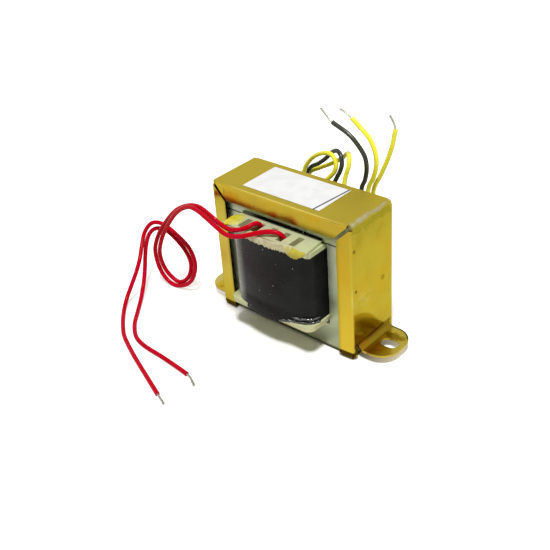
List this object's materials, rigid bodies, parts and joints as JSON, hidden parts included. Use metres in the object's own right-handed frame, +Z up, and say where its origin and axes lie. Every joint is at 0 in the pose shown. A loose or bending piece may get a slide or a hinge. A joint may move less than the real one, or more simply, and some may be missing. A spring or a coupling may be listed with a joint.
{
  "type": "step-down transformer",
  "caption": "Open-frame mains transformer: interleaved steel core in a folded plated frame with slotted feet, taped coil on a slotted bobbin, and loose stripped lead wires.",
  "frame": {"origin": "on the floor, midway between the feet and midway through the core stack", "axes": "+X from foot to foot, +Z up, -Y towards the primary leads"},
  "size_m": [0.1062, 0.0929, 0.0725],
  "materials": {
    "plated_steel": "yellow passivated zinc plating, glossy, stained",
    "core_steel": "bare silicon steel, satin",
    "ivory_plastic": "moulded nylon, satin",
    "copper_wire": "enamelled copper wire",
    "film": "polyester film",
    "black_tape": "wound tape, soft gloss",
    "label_paper": "coated paper, satin",
    "red_pvc": "extruded insulation, glossy",
    "yellow_pvc": "extruded insulation, glossy",
    "black_pvc": "extruded insulation, glossy",
    "tinned_copper": "twisted tinned strands"
  },
  "bodies": {
    "root": {"frame": "plated_steel", "e_laminations_upright": "core_steel", "i_laminations_top": "core_steel", "e_laminations_inverted": "core_steel", "i_laminations_bottom": "core_steel", "bobbin": "ivory_plastic", "primary_winding": "copper_wire", "interwinding_insulation": "film", "secondary_winding": "copper_wire", "outer_tape": "black_tape", "label": "label_paper", "primary_lead_a": "red_pvc", "primary_lead_b": "red_pvc", "secondary_lead_a": "yellow_pvc", "centre_tap_lead": "black_pvc", "secondary_lead_b": "yellow_pvc", "primary_strands_a": "tinned_copper", "primary_strands_b": "tinned_copper", "secondary_strands_a": "tinned_copper", "centre_tap_strands": "tinned_copper", "secondary_strands_b": "tinned_copper"}
  },
  "joints": []
}
